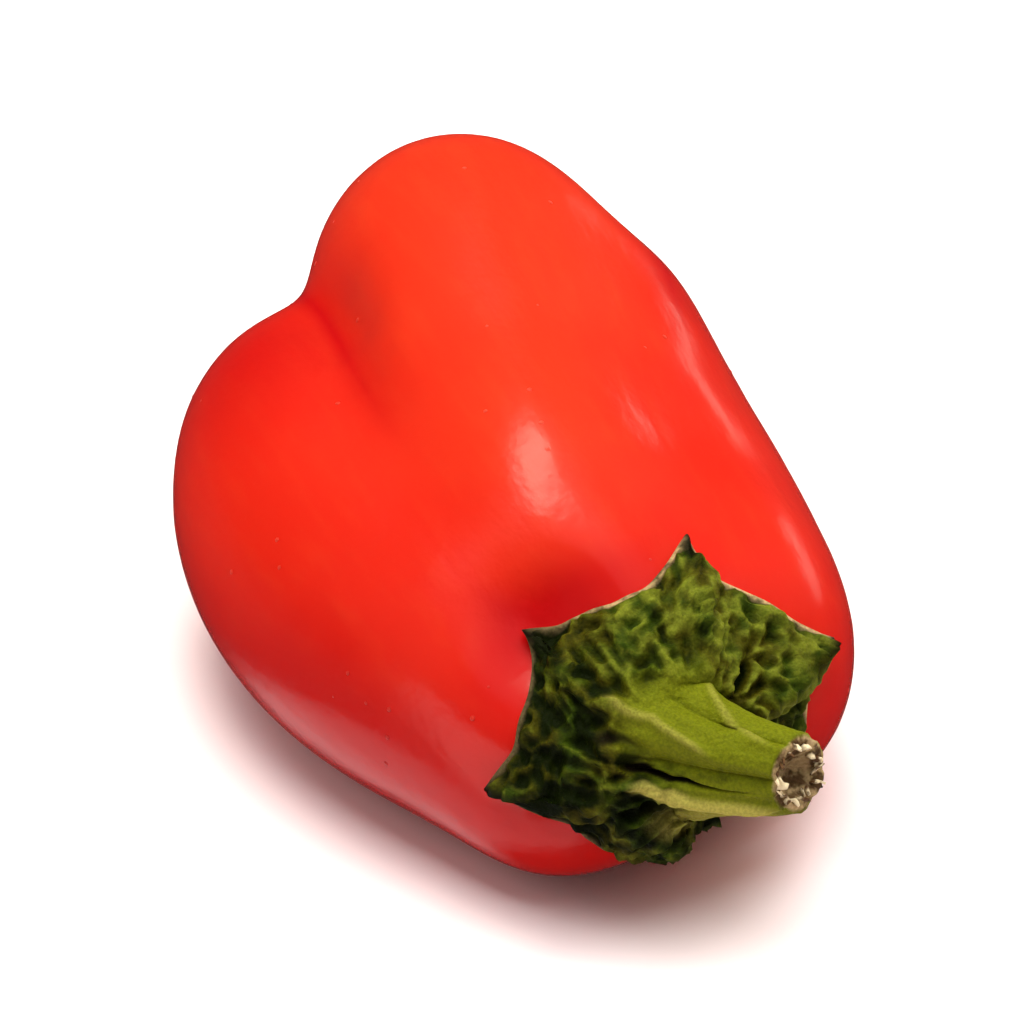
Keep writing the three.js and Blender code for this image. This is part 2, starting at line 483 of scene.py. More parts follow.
@dataclass(frozen=True)
class CapFinish:
    """The green of the cap and the stem.

    Attributes:
        hollow: A painted shade in the hollows between the ridges; also the cap's own dark blotches and
            freckles.
        leaf: The cap's own green.
        olive: Where that is more yellow.
        ridge: A painted highlight on the ridges; also the cap's own pale blotches.
        lime: The stem.
        rim: A painted highlight along the thin rim.
        rib: The lighter ribs.
        dark_tips_and_crack_shade: The darker tips, and a painted shade in the crack and the groove.
        pith: The cut end.
        stained: Where sap has dried on that.
        sunny: The lit side, away from the painted shade of the green. The length is what makes a millimetre
            count as one.
        shade: How far that way, in millimetres, the painted shade begins, and where it is darkest.
    """

    hollow: Colour = (0.0035, 0.0060, 0.0004)
    leaf: Colour = (0.0240, 0.0400, 0.0015)
    olive: Colour = (0.0470, 0.0420, 0.0015)
    ridge: Colour = (0.1450, 0.1650, 0.0120)
    lime: Colour = (0.1200, 0.1350, 0.0030)
    rim: Colour = (0.42, 0.29, 0.13)
    rib: Colour = (0.3700, 0.3300, 0.0650)
    dark_tips_and_crack_shade: Colour = (0.0050, 0.0030, 0.0015)
    pith: Colour = (0.38, 0.27, 0.13)
    stained: Colour = (0.090, 0.050, 0.020)
    sunny: Point = (0.0, 0.7, 0.7)
    shade: tuple[float, float] = (13.0, 6.0)

    def material(self) -> bpy.types.Material:
        """Makes the material.

        Returns:
            The material.
        """
        graph = ShaderGraph("green_cap")
        place = graph.place()
        line = graph.mark(Mark.LINE)
        relief = graph.mark(Mark.RELIEF)
        blotches = graph.noise(place, scale=0.75, seed=11.0, detail=3.0)
        height = relief + 0.7 * (blotches - 0.5)
        yellowed = graph.rise(graph.noise(place, scale=0.3, seed=10.0), 0.4, 0.6)
        green = graph.mixed(yellowed, self.leaf, self.olive)
        # Painted shade: the cap's green is darker low down and on its left side, where less light falls.
        compared = {0: place, 1: self.sunny}
        side = graph.out("ShaderNodeVectorMath", {"operation": "DOT_PRODUCT"}, compared, "Value")
        side_shade = graph.rise(side, *self.shade)
        height = height - 0.26 * side_shade * (1 - graph.mark(Mark.STEM))
        # Colour by relief height: painted shade in the hollows and painted highlights on the ridges, over the
        # cap's own blotches.
        colour = graph.mixed(graph.rise(height, 0.2, 0.6), self.hollow, green)
        colour = graph.mixed(graph.rise(height, 0.5, 1.0), colour, self.ridge)
        # The stem's pale green, strongest where its relief stands high: painted light on its ribs.
        stem = graph.mark(Mark.STEM) * (0.35 + 0.65 * graph.rise(height, 0.1, 0.6))
        colour = graph.mixed(0.95 * stem, colour, self.lime)
        # Patches where the painted highlight along the rim shows.
        rim_highlight_patches = graph.rise(graph.noise(place, scale=1.3, seed=15.0, detail=3.0), 0.3, 0.6)
        colour = graph.mixed(0.85 * graph.rise(line, 0.15, 0.65), colour, self.rib)
        # Painted highlight along the rim, weaker where the side shade is painted.
        colour = graph.mixed(graph.mark(Mark.EDGE) * (0.2 + 0.8 * rim_highlight_patches) * (1 - 0.8 * side_shade), colour, self.rim)
        # Darker tips, and painted shade in the crack and the groove.
        dark = graph.math("MAXIMUM", graph.mark(Mark.TIP), graph.rise(line, -0.15, -0.5))
        colour = graph.mixed(dark, colour, self.dark_tips_and_crack_shade)
        clean = graph.rise(graph.noise(place, scale=1.0, seed=16.0, detail=3.0), 0.42, 0.58)
        torn = graph.mixed(clean, self.stained, self.pith)
        colour = graph.mixed(graph.mark(Mark.CUT), colour, torn)
        freckles = graph.rise(graph.noise(place, scale=6.0, seed=12.0, detail=2.0), 0.35, 0.65)
        colour = graph.mixed(0.25 * freckles, colour, self.hollow)
        coarse = graph.bumped(graph.noise(place, scale=2.6, seed=13.0, detail=4.0), depth=0.2)
        fine = graph.bumped(graph.noise(place, scale=11.0, seed=14.0, detail=2.0), depth=0.04, under=coarse)
        dull = 0.42 + 0.25 * blotches
        return graph.finished({
            "Base Color": colour,
            "Roughness": dull,
            "IOR": 1.45,
            "Specular IOR Level": 0.08,
            "Normal": fine,
            "Subsurface Weight": 0.1,
            "Subsurface Radius": (0.5, 1.0, 0.2),
            "Subsurface Scale": 0.5 * MM,
        })


@dataclass(frozen=True)
class FibreFinish:
    """The pale torn fibres of the cut end.

    Attributes:
        pale: Their colour.
        stained: Where sap has dried on them.
    """

    pale: Colour = (0.66, 0.55, 0.34)
    stained: Colour = (0.09, 0.04, 0.012)

    def material(self) -> bpy.types.Material:
        """Makes the material.

        Returns:
            The material.
        """
        graph = ShaderGraph("cut_fibres")
        place = graph.place()
        stains = graph.rise(graph.noise(place, scale=0.9, seed=21.0, detail=3.0), 0.47, 0.57)
        colour = graph.mixed(stains, self.pale, self.stained)
        strands = graph.bumped(graph.noise(place, scale=9.0, seed=22.0, detail=2.0), depth=0.06)
        return graph.finished({"Base Color": colour, "Roughness": 0.75, "Normal": strands})


@dataclass(frozen=True)
class RemnantFinish:
    """The dried remnant of the flower.

    Attributes:
        dry: Its colour.
        dark: In its wrinkles.
    """

    dry: Colour = (0.100, 0.056, 0.024)
    dark: Colour = (0.020, 0.011, 0.005)

    def material(self) -> bpy.types.Material:
        """Makes the material.

        Returns:
            The material.
        """
        graph = ShaderGraph("dry_remnant")
        place = graph.place()
        patches = graph.rise(graph.noise(place, scale=3.0, seed=31.0, detail=3.0), 0.4, 0.65)
        colour = graph.mixed(patches, self.dark, self.dry)
        wrinkles = graph.bumped(graph.noise(place, scale=6.0, seed=32.0, detail=4.0), depth=0.1)
        return graph.finished({"Base Color": colour, "Roughness": 0.85, "Normal": wrinkles})


@dataclass(frozen=True)
class FloorFinish:
    """The plain pale floor.

    Attributes:
        white: Its colour, a pinkish white: the pink is a painted red bounce light, which shows in the
            shadows.
        roughness: How dull it is.
    """

    white: Colour = (0.94, 0.84, 0.83)
    roughness: float = 0.45

    def material(self) -> bpy.types.Material:
        """Makes the material.

        Returns:
            The material.
        """
        graph = ShaderGraph("pale_floor")
        return graph.finished({"Base Color": self.white, "Roughness": self.roughness})


def smooth_step(values: Values | float, low: float, high: float) -> Values:
    """Turns values into a smooth step from 0 to 1, which falls if high is the lower one."""
    share = np.clip((np.asarray(values) - low) / (high - low), 0, 1)
    return share * share * (3 - 2 * share)


def through(first: Any, middle: Any, last: Any, t: Values) -> Values:
    """Runs smoothly through three values, which it meets at 0, a half and 1."""
    return 2 * (t - 0.5) * (t - 1) * first + 4 * t * (1 - t) * middle + 2 * t * (t - 0.5) * last


def ripples(turn: Values, waves: Waves) -> Values:
    """Adds up waves round a circle, the finer ones lower."""
    return sum(np.cos(often * turn + start) / often for often, start in waves)


def nearness_to(points: Points, middle: Point, reach: float) -> Values:
    """How near points are to a place: 1 there, and hardly anything at twice the reach."""
    return np.exp(-((np.linalg.norm(points - np.array(middle), axis=-1) / reach) ** 2))


def rounded_union(distances: Values, rounding: Values | float, share: float = 1.0) -> Values:
    """Joins distances into one, rounded where they are alike.

    Args:
        distances: The distances to join, along the last axis.
        rounding: How far the rounding reaches.
        share: How much each of them counts.

    Returns:
        The joined distances.
    """
    nearest = distances.min(axis=-1)
    reach = np.asarray(rounding)
    apart = (nearest[..., None] - distances) / reach[..., None]
    return nearest - reach * np.log(share * np.exp(apart).sum(axis=-1))


def leaning(lean: Values, towards: Values) -> Points:
    """Directions that lean from +X, turned round it from +Y towards +Z. Both are in radians."""
    aside = np.sin(lean)
    return np.stack(np.broadcast_arrays(np.cos(lean), aside * np.cos(towards), aside * np.sin(towards)), -1)


def smooth_path(keys: Points, knots: Values, at: Values) -> Points:
    """Runs a smooth curve through keys.

    Args:
        keys: What it runs through, along the first axis.
        knots: How far along it each key is.
        at: Where to read it.

    Returns:
        The places there.
    """
    shape = (-1,) + (1,) * (keys.ndim - 1)
    steps = np.diff(knots).reshape(shape)
    slopes = np.diff(keys, axis=0) / steps
    inner = (slopes[:-1] * steps[1:] + slopes[1:] * steps[:-1]) / (steps[:-1] + steps[1:])
    tangents = np.concatenate((slopes[:1], inner, slopes[-1:]))
    k = np.clip(np.searchsorted(knots, at, side="right") - 1, 0, len(knots) - 2)
    width = steps[k]
    t = ((at - knots[k]) / np.diff(knots)[k]).reshape(shape)
    start = (2 * t**3 - 3 * t**2 + 1) * keys[k] + (t**3 - 2 * t**2 + t) * width * tangents[k]
    stop = (3 * t**2 - 2 * t**3) * keys[k + 1] + (t**3 - t**2) * width * tangents[k + 1]
    return start + stop


class Skin:
    """A closed skin under construction: rings of points with their marks, and a single point at each end."""

    def __init__(self, *marks: Mark) -> None:
        """Starts a skin whose points have these marks."""
        self.rings: list[Points] = []
        self.marks: dict[Mark, list[Values]] = {mark: [] for mark in marks}

    def add(self, ring: Points, marks: Mapping[Mark, Values | float] | None = None) -> None:
        """Adds a ring.

        Args:
            ring: Its points, in millimetres. An end is a ring of one point.
            marks: Their marks. The others are 0.
        """
        ring = np.atleast_2d(ring)
        self.rings.append(ring)
        for mark, values in self.marks.items():
            values.append(np.broadcast_to((marks or {}).get(mark, 0.0), len(ring)))

    def build(self, name: str) -> bpy.types.Object:
        """Makes the mesh object.

        Args:
            name: Its name.

        Returns:
            The object, in metres in the shared frame.
        """
        points = (np.concatenate(self.rings) - MIDDLE) * MM
        columns = len(self.rings[1])
        faces: list[tuple[int, ...]] = []
        here = 0
        for ring, following in zip(self.rings, self.rings[1:]):
            after = here + len(ring)
            for i in range(columns):
                j = (i + 1) % columns
                if len(ring) == 1:
                    faces.append((here, after + j, after + i))
                elif len(following) == 1:
                    faces.append((here + i, here + j, after))
                else:
                    faces.append((here + i, here + j, after + j, after + i))
            here = after
        mesh = bpy.data.meshes.new(name)
        mesh.from_pydata(points.tolist(), [], faces)
        for mark, values in self.marks.items():
            attribute = mesh.attributes.new(mark.value, "FLOAT", "POINT")
            attribute.data.foreach_set("value", np.concatenate(values).astype(np.float32))
        mesh.polygons.foreach_set("use_smooth", [True] * len(mesh.polygons))
        return add_object(name, mesh)


def hand_over(piece: bpy.types.Object, slot: Slot, *nodes: Node) -> None:
    """Puts a finished piece on its body.

    Args:
        piece: The piece.
        slot: The record's slot that its finish belongs to. It is not used.
        nodes: The solids that it stands for.
    """
    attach(piece, BODY)
    if nodes:
        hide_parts(*(node.value for node in nodes))
    LOG.info("%s: %d faces", piece.name, len(piece.data.polygons))


def drop(piece: bpy.types.Object) -> None:
    """Removes a piece that was only a start for others."""
    bpy.data.objects.remove(piece, do_unlink=True)


@dataclass(frozen=True)
class Lobe:
    """One lobe of the fruit: a string of spheres on a gentle curve.

    Attributes:
        shoulder: The middle of the sphere beside the stem.
        belly: The middle of the one halfway.
        tip: The middle of the one at the blossom end.
        radii: The radii of these three.
    """

    shoulder: Point
    belly: Point
    tip: Point
    radii: Point


@dataclass(frozen=True)
class Dent:
    """A soft hollow in the fruit, or a swelling.

    Attributes:
        middle: Where it is deepest.
        depth: How deep it is. A swelling's is below zero.
        width: How far it reaches.
    """

    middle: Point
    depth: float
    width: float


@dataclass(frozen=True)
class FruitForm:
    """The fruit's form, a rounded union of its lobes. All sizes are in millimetres.

    Attributes:
        lobes: The upper lobe, and the left and the right one, which it lies on.
        dents: The hollow round the stem, the one in the furrow beside the cap and those that run from the
            cleft, a swelling of the crown, those that move the right furrow towards the crown, and the left
            lobe's fullness below the cap.
        heart: A line inside it, from the blossom side to the stem side.
        lobe_rounding: How far the skin runs round between the spheres of a lobe.
        furrow_rounding: The same between the lobes, at the tip, the belly and the shoulder.
        cleft_fades: Where along +X the crisp cleft turns into the soft furrow.
        shoulders_start: Where along +X the furrow turns into the shoulders.
        spheres_per_lobe: How many spheres a lobe is worked out from.
        spheres_that_count: How many of these lie close enough together to count fully.
        reach: More than the skin's distance from the heart.
        halvings: How often that is halved to find the skin.
    """

    lobes: tuple[Lobe, ...] = (
        Lobe((18.5, -1.0, 14.0), (-1.5, 0.5, 15.5), (-21.0, 4.5, 18.0), (6.5, 9.5, 10.2)),
        Lobe((19.0, -2.5, 9.5), (-0.5, -9.5, 9.8), (-17.0, -6.0, 11.5), (9.0, 10.0, 9.0)),
        Lobe((16.5, 5.0, 10.3), (0.0, 8.5, 9.3), (-21.0, 9.5, 11.5), (9.5, 9.5, 9.5)),
    )
    dents: tuple[Dent, ...] = (
        Dent((24.0, -1.0, 13.0), 1.2, 8.0),
        Dent((18.6, -6.4, 17.8), 2.3, 4.2),
        Dent((-15.5, -6.6, 21.2), 0.8, 3.0),
        Dent((-11.5, -7.4, 21.8), 0.9, 2.6),
        Dent((-7.5, -8.4, 21.5), 0.65, 2.6),
        Dent((-3.5, -9.2, 20.8), 0.35, 2.8),
        Dent((4.8, -2.2, 23.6), -0.75, 5.8),
        Dent((-13.5, 13.8, 19.6), -1.3, 5.0),
        Dent((-7.0, 12.8, 20.0), -0.9, 4.5),
        Dent((-0.5, 10.6, 20.2), -0.7, 4.5),
        Dent((-12.1, 9.4, 24.5), 0.3, 5.0),
        Dent((-4.0, 8.4, 23.0), 0.25, 5.0),
        Dent((4.2, 6.6, 21.9), 0.3, 5.0),
        Dent((13.4, 4.7, 20.8), 0.4, 4.5),
        Dent((22.0, -8.5, 4.5), -1.4, 6.0),
    )
    heart: tuple[Point, Point] = ((-11.0, 0.0, 13.5), (14.0, 1.0, 11.5))
    lobe_rounding: float = 1.6
    furrow_rounding: Point = (0.9, 1.9, 1.2)
    cleft_fades: tuple[float, float] = (-22.0, -4.0)
    shoulders_start: tuple[float, float] = (8.0, 22.0)
    spheres_per_lobe: int = 14
    spheres_that_count: int = 4
    reach: float = 45.0
    halvings: int = 24

    def lobe_distances(self, points: Points) -> Values:
        """How far points are from each lobe.

        Args:
            points: The points.

        Returns:
            The distances, with the lobes along a last axis.
        """
        t = np.linspace(0, 1, self.spheres_per_lobe)
        found = []
        for lobe in self.lobes:
            path = (np.array(lobe.shoulder), np.array(lobe.belly), np.array(lobe.tip))
            centres = through(*path, t[:, None])
            apart = np.linalg.norm(points[..., None, :] - centres, axis=-1) - through(*lobe.radii, t)
            share = self.spheres_that_count / self.spheres_per_lobe
            found.append(rounded_union(apart, self.lobe_rounding, share))
        return np.stack(found, -1)

    def distance(self, points: Points) -> Values:
        """How far points are outside the fruit.

        Args:
            points: The points.

        Returns:
            The distances, below zero inside.
        """
        tip, belly, shoulder = self.furrow_rounding
        past_cleft = smooth_step(points[..., 0], *self.cleft_fades)
        on_shoulders = smooth_step(points[..., 0], *self.shoulders_start)
        rounding = tip + (belly - tip) * past_cleft + (shoulder - belly) * on_shoulders
        result = rounded_union(self.lobe_distances(points), rounding)
        for dent in self.dents:
            result = result + dent.depth * nearness_to(points, dent.middle, dent.width)
        return result

    def skin(self, starts: Points, directions: Points) -> Points:
        """Finds where lines from inside the fruit leave its skin.

        Args:
            starts: Where the lines start.
            directions: Where they go.

        Returns:
            The points on the skin.
        """
        starts, directions = np.broadcast_arrays(starts, directions)
        inside = np.zeros(directions.shape[:-1])
        outside = np.full(directions.shape[:-1], self.reach)
        for _ in range(self.halvings):
            middle = (inside + outside) / 2
            within = self.distance(starts + directions * middle[..., None]) < 0
            inside = np.where(within, middle, inside)
            outside = np.where(within, outside, middle)
        return starts + directions * inside[..., None]


@dataclass(frozen=True)
class CapPoint:
    """One of the cap's points.

    Attributes:
        towards: Which way it points, turned round +X from +Y towards +Z, in degrees.
        lean: The lean of its tip from +X, in degrees.
        rim_after: The lean of the rim halfway to the next point.
    """

    towards: float
    lean: float
    rim_after: float


@dataclass(frozen=True)
class CapLine:
    """A rib or a groove along the cap and the stem.

    Attributes:
        climbs: Where it starts, bends and ends: 0 is the cap's rim, 1 the stem's root and 2 its end.
        turns: Which way it lies at each, turned round +X from +Y towards +Z, in degrees.
        width: Half its width, in degrees.
        height: How high it stands, in millimetres. A groove's is below zero.
        taper: How much of its width and its height it loses on the way.
    """

    climbs: tuple[float, ...]
    turns: tuple[float, ...]
    width: float
    height: float
    taper: float = 0.0

    def rise(self, climb: float, towards: Values) -> Values:
        """How high it stands at the points of a ring.

        Args:
            climb: How far up the ring is.
            towards: The points' turns, in radians.

        Returns:
            The heights.
        """
        start, end = self.climbs[0], self.climbs[-1]
        turn = np.interp(climb, self.climbs, self.turns)
        aside = (np.degrees(towards) - turn + 180) % 360 - 180
        fade = smooth_step(climb, start - 0.15, start + 0.1) * smooth_step(climb, end + 0.1, end - 0.15)
        left = 1 - self.taper * smooth_step(climb, start, end)
        return self.height * left * fade * np.exp(-((aside / (self.width * left)) ** 2))


@dataclass(frozen=True)
class Cap:
    """The cap and the stem, one grown body. All sizes are in millimetres.

    Attributes:
        form: The fruit that it has grown on.
        points: The cap's points.
        lines: The stem's long crack, the pale rib below it, its other ribs and the groove beside them.
        eye: The point inside the fruit that leans are seen from.
        skin_away: How far about the skin is from there.
        columns_per_point: How many columns of its mesh there are from one point to the next.
        sharpness: How slender the points are.
        wobble: How uneven the rim is between them, in degrees.
        rim_waves: The waves of that.
        root_lean: The lean of the stem's root, in degrees.
        gap: How far the underside is over the skin.
        rim_thickness: How thick the cap is at its rim.
        middle_thickness: How thick it is towards the stem.
        swell: How much more at the stem's root.
        ridge: How high the ridge up each point is.
        tip_lift: How far the tips stand off the skin.
        lift_sharpness: How little of each point stands off.
        tip_dark_sharpness: How little of each point is darker.
        under_rings: How many rings the underside has.
        rim_turns: Where the rings of the rim are, in degrees from the way it faces.
        top_shares: Where the rings of the top are, from 1 at the rim to 0 at the stem's root.
        stem_root: Where the stem's middle line starts.
        stem_bend: What it bends towards.
        stem_end: Where it ends.
        stem_rings: How far along the stem each of its rings is, and its radius.
        slant: How far the cut is set back on one side.
        slant_towards: Which side that is, turned round +X from +Y towards +Z, in degrees.
        sunny_towards: Where the stem and its pale green run furthest down: the lit side, so that green there
            is partly painted light. Turned the same way.
        rib_depth: How deep its grooves are, as a share of its radius.
        groove_width: How wide they are, as a share of the way between two of them.
        ring_spacing: How far apart the rings of the finished mesh are.
        cut_depth: How deep the hollow in the cut end is.
        cut_profile: The rings of the cut end: their share of its radius, and how far back they are.
        cut_waves: The waves of its torn surface.
        cut_tear: How high these are.
    """

    form: FruitForm
    points: tuple[CapPoint, ...] = (
        CapPoint(12, 46, 42),
        CapPoint(62, 56, 37),
        CapPoint(142, 48, 36),
        CapPoint(192, 42, 25),
        CapPoint(264, 26, 24),
        CapPoint(328, 44, 33),
    )
    lines: tuple[CapLine, ...] = (
        CapLine(
            (1.2, 1.3, 1.36, 1.45, 1.53, 1.6, 1.75, 1.9),
            (174, 175, 179, 183, 183, 187, 190, 189),
            5.0,
            -1.0,
            0.75,
        ),
        CapLine((1.2, 1.35, 1.6, 2.0), (188, 191, 206, 213), 8.0, 0.7),
        CapLine((1.1, 2.0), (245, 245), 35.0, 0.4),
        CapLine((0.85, 1.27, 1.55, 1.7), (137, 131, 142, 150), 6.0, 0.4),
        CapLine((1.35, 1.63, 1.8, 2.0), (64, 92, 108, 122), 9.0, 0.35),
        CapLine((0.9, 1.1, 1.3), (160, 152, 158), 8.0, -0.5, 0.4),
    )
    eye: Point = (10.0, -1.0, 12.0)
    skin_away: float = 18.0
    columns_per_point: int = 40
    sharpness: float = 3.0
    wobble: float = 4.0
    rim_waves: Waves = ((9, 1.0), (14, 2.6), (23, 0.4))
    root_lean: float = 17.0
    gap: float = 0.12
    rim_thickness: float = 0.45
    middle_thickness: float = 1.55
    swell: float = 0.8
    ridge: float = 0.9
    tip_lift: float = 0.5
    lift_sharpness: int = 14
    tip_dark_sharpness: int = 16
    under_rings: int = 14
    rim_turns: tuple[float, ...] = (-60, -30, 0, 30, 60)
    top_shares: tuple[float, ...] = (1, 0.93, 0.85, 0.76, 0.68, 0.59, 0.5, 0.42, 0.34, 0.27, 0.2, 0.09, 0)
    stem_root: Point = (22.8, -1.6, 11.7)
    stem_bend: Point = (27.5, -0.2, 12.2)
    stem_end: Point = (32.6, 4.7, 12.8)
    stem_rings: tuple[tuple[float, float], ...] = (
        (0.36, 3.6), (0.47, 3.2), (0.62, 2.85), (0.8, 2.5), (1.0, 2.2),
    )
    slant: float = 1.5
    slant_towards: float = 160.0
    sunny_towards: float = 100.0
    rib_depth: float = 0.1
    groove_width: float = 0.3
    ring_spacing: float = 0.14
    cut_depth: float = 1.2
    cut_profile: tuple[tuple[float, float], ...] = (
        (0.97, -0.12), (0.9, -0.16), (0.8, -0.05), (0.7, 0.15), (0.6, 0.5), (0.45, 0.9), (0.25, 1.15),
    )
    cut_waves: Waves = ((5, 0.3), (11, 1.9), (17, 4.0), (29, 2.2))
    cut_tear: float = 0.5

    def columns(self) -> dict[str, Values]:
        """Works out the cap's columns.

        Returns:
            Their directions and the rim's lean there, in radians, and how near each is to a point, up to 1.
        """
        found: dict[str, list[Values]] = {"towards": [], "rim": [], "nearness": []}
        t = np.arange(self.columns_per_point) / self.columns_per_point
        for point, following in zip(self.points, self.points[1:] + self.points[:1]):
            turn = (following.towards - point.towards) % 360
            nearness = np.abs(2 * t - 1)
            tip = np.where(t < 0.5, point.lean, following.lean)
            found["towards"].append(np.radians(point.towards + turn * t))
            found["rim"].append(point.rim_after + (tip - point.rim_after) * nearness**self.sharpness)
            found["nearness"].append(nearness)
        joined = {name: np.concatenate(values) for name, values in found.items()}
        uneven = ripples(joined["towards"], self.rim_waves) * (1 - joined["nearness"] ** 4)
        joined["rim"] = np.radians(joined["rim"] + self.wobble * uneven)
        return joined

    def over_skin(self, lean: Values, towards: Values, height: Values | float) -> Points:
        """Finds points over the fruit's skin, seen from the eye.

        Args:
            lean: Their leans.
            towards: Their turns.
            height: How far over the skin they are.

        Returns:
            The points.
        """
        directions = leaning(lean, towards)
        on_skin = self.form.skin(np.array(self.eye), directions)
        return on_skin + directions * np.asarray(height)[..., None]

    def stem_path(self, along: float) -> tuple[Points, Points]:
        """Reads the stem's middle line.

        Args:
            along: How far along, from 0 to 1.

        Returns:
            The place, and the direction there.
        """
        root, bend, end = (np.array(p) for p in (self.stem_root, self.stem_bend, self.stem_end))
        place = (1 - along) ** 2 * root + 2 * along * (1 - along) * bend + along**2 * end
        tangent = (1 - along) * (bend - root) + along * (end - bend)
        return place, tangent / np.linalg.norm(tangent)

    def stem_ring(self, along: float, radii: Values | float, back: Values | float = 0.0) -> Points:
        """Makes a ring of the stem.

        Args:
            along: How far along the stem it is.
            radii: Its radius at each column.
            back: How far it is set back from there.

        Returns:
            Its points.
        """
        place, tangent = self.stem_path(along)
        turned = np.array(Vector((1, 0, 0)).rotation_difference(Vector(tangent)).to_matrix())
        spokes = leaning(np.pi / 2, self.columns()["towards"]) @ turned.T
        return place + spokes * np.asarray(radii)[..., None] - tangent * np.asarray(back)[..., None]

    def set_back(self, towards: Values) -> Values:
        """How far the slanted cut is set back at the stem's columns."""
        return self.slant * (1 + np.cos(towards - np.radians(self.slant_towards))) / 2

    def cut_plane(self) -> tuple[Points, Points]:
        """Finds the plane that the stem is cut in.

        Returns:
            Its middle, and the way it faces.
        """
        end, tangent = self.stem_path(1.0)
        towards = self.columns()["towards"]
        lowest = np.argmax(self.set_back(towards))
        spoke = self.stem_ring(1.0, 1.0)[lowest] - end
        facing = tangent + spoke * self.slant / (2 * self.stem_rings[-1][1])
        return end - tangent * self.slant / 2, facing / np.linalg.norm(facing)

    def build(self) -> bpy.types.Object:
        """Makes the smooth body that the wrinkles are then raised on.

        Returns:
            The body.
        """
        columns = self.columns()
        towards, rim, nearness = columns["towards"], columns["rim"], columns["nearness"]
        skin = Skin(Mark.AROUND, Mark.CLIMB, Mark.TOP, Mark.EDGE, Mark.TIP, Mark.STEM, Mark.CUT, Mark.LINE)
        common = {Mark.AROUND: towards}
        lift = self.gap + self.tip_lift * nearness**self.lift_sharpness

        skin.add(self.over_skin(np.zeros(1), np.zeros(1), self.gap))
        for share in np.linspace(0, 1, self.under_rings + 1)[1:]:
            skin.add(self.over_skin(share * rim, towards, self.gap + (lift - self.gap) * share**6), common)

        half = self.rim_thickness / 2
        for turn in np.radians(self.rim_turns):
            outwards = np.cos(turn) * half / self.skin_away
            ring = self.over_skin(rim + outwards, towards, lift + half + half * np.sin(turn))
            skin.add(ring, common | {Mark.EDGE: 1.0, Mark.TIP: nearness**self.tip_dark_sharpness})

        keys, knots, climbs = self.key_rings(columns, lift)
        count = int(knots[-1] / self.ring_spacing)
        at = np.linspace(0, knots[-1], count)
        rings = smooth_path(keys, knots, at)
        climb = np.interp(at, knots, climbs)
        # The stem runs furthest down on the lit side, and its pale green there is partly painted light.
        low = smooth_step(np.abs(np.degrees(towards) % 360 - self.sunny_towards), 35, 95)
        for ring, height in zip(rings, climb):
            marks = {
                Mark.CLIMB: height,
                Mark.TOP: smooth_step(height, 0.0, 0.06),
                Mark.EDGE: 1 - smooth_step(height, 0.0, 0.05),
                Mark.TIP: nearness**self.tip_dark_sharpness * (1 - smooth_step(height, 0.05, 0.3)),
                Mark.STEM: smooth_step(height - 0.5 * low, 0.75, 1.2),
                Mark.LINE: sum(line.rise(height, towards) for line in self.lines),
            }
            skin.add(ring, common | marks)
        self.add_cut(skin, columns, common)
        return skin.build("cap_body")

    def key_rings(self, columns: Mapping[str, Values], lift: Values) -> tuple[Points, Values, Values]:
        """Makes the rings that the upper surface runs through, from the rim to the stem's end.

        Args:
            columns: The cap's columns.
            lift: How far the underside is over the skin, at the rim.

        Returns:
            The rings, how far along the surface each is, and how far it has climbed: 0 at the rim, 1 at the
            stem's root and 2 at its end.
        """
        towards, rim, nearness = columns["towards"], columns["rim"], columns["nearness"]
        root = np.radians(self.root_lean)
        keys = []
        climbs = []
        for share in self.top_shares:
            thickness = self.middle_thickness + (self.rim_thickness - self.middle_thickness) * share
            thickness = thickness + self.swell * (1 - share) ** 3
            ridge = self.ridge * nearness**4 * np.sin(np.pi * share) ** 0.5
            height = self.gap + (lift - self.gap) * share**6 + thickness + ridge
            keys.append(self.over_skin(root + (rim - root) * share, towards, height))
            climbs.append(1 - share)
        groove = 1 - 2 * np.exp(-nearness / self.groove_width)
        for along, radius in self.stem_rings:
            back = self.set_back(towards) * smooth_step(along, 0.4, 1.0)
            keys.append(self.stem_ring(along, radius * (1 + self.rib_depth * groove), back))
            climbs.append(1 + along)
        stacked = np.stack(keys)
        steps = np.linalg.norm(np.diff(stacked, axis=0), axis=-1).mean(axis=1)
        return stacked, np.concatenate(((0.0,), np.cumsum(steps))), np.array(climbs)

    def add_cut(self, skin: Skin, columns: Mapping[str, Values], common: Mapping[Mark, Values]) -> None:
        """Adds the torn cut end with the hollow in it.

        Args:
            skin: The skin that it closes.
            columns: The cap's columns.
            common: The marks that every ring has.
        """
        towards = columns["towards"]
        radius = self.stem_rings[-1][1]
        torn = ripples(towards, self.cut_waves)
        flat = self.slant / 2
        slope = self.set_back(towards) - flat
        for share, back in self.cut_profile:
            uneven = self.cut_tear * torn * smooth_step(share, 0.3, 0.8)
            ring = self.stem_ring(1.0, share * radius, back + uneven + flat + share * slope)
            marks = {Mark.CUT: 1.0, Mark.STEM: 1.0, Mark.CLIMB: 2.0}
            skin.add(ring, common | marks)
        place, tangent = self.stem_path(1.0)
        skin.add(place - tangent * (self.cut_depth + flat), {Mark.CLIMB: 2.0, Mark.CUT: 1.0})

